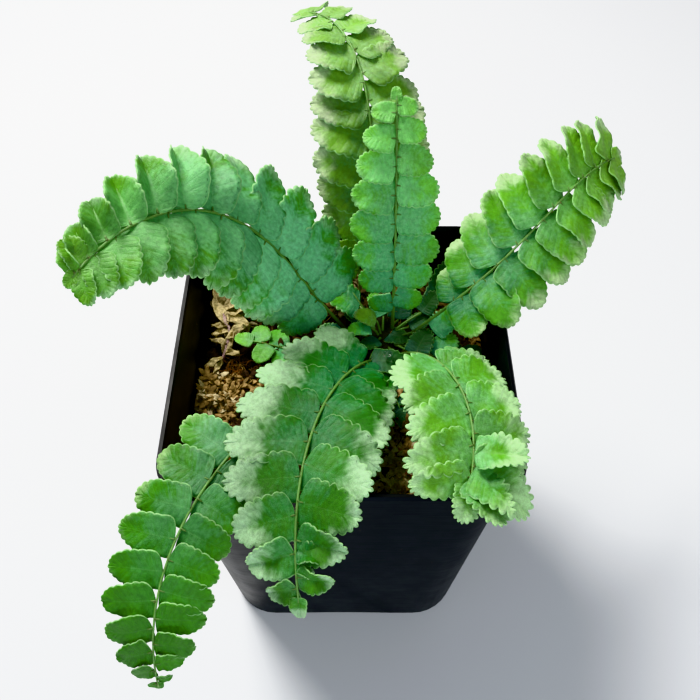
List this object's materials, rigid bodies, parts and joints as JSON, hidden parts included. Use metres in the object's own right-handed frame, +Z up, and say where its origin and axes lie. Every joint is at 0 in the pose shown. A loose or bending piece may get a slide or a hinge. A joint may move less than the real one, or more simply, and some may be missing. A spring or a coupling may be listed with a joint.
{
  "type": "potted fern",
  "caption": "Young pinnate fern with arching fronds of scalloped leaflets, growing in dried moss in a square tapered plastic nursery pot.",
  "frame": {"origin": "middle of the pot's underside, on the surface it stands on", "axes": "+Z up out of the pot; -Y the side that faces the viewer; +X to the viewer's right"},
  "size_m": [0.1383, 0.1718, 0.1651],
  "materials": {
    "pot": "black moulded plastic with a soft sheen, fine dust and scuffs",
    "moss": "dried long-fibre moss, straw to rust brown",
    "crown": "dark scaly rhizome and wiry roots",
    "dead_sprig": "dry papery brown",
    "leaf": "fresh mid green, paler towards the waved edges, faint waxy sheen",
    "young_leaf": "young leaf green"
  },
  "bodies": {
    "root": {"pot": "pot", "moss_bed": "moss", "crown": "crown", "dead_sprig": "dead_sprig", "frond_left": "leaf", "frond_back": "leaf", "frond_centre": "leaf", "frond_right": "leaf", "frond_front_right": "leaf", "frond_front": "leaf", "frond_front_left": "leaf", "young_frond_left": "young_leaf", "young_frond_front": "young_leaf", "young_frond_right": "young_leaf", "young_frond_back": "young_leaf"}
  },
  "joints": []
}
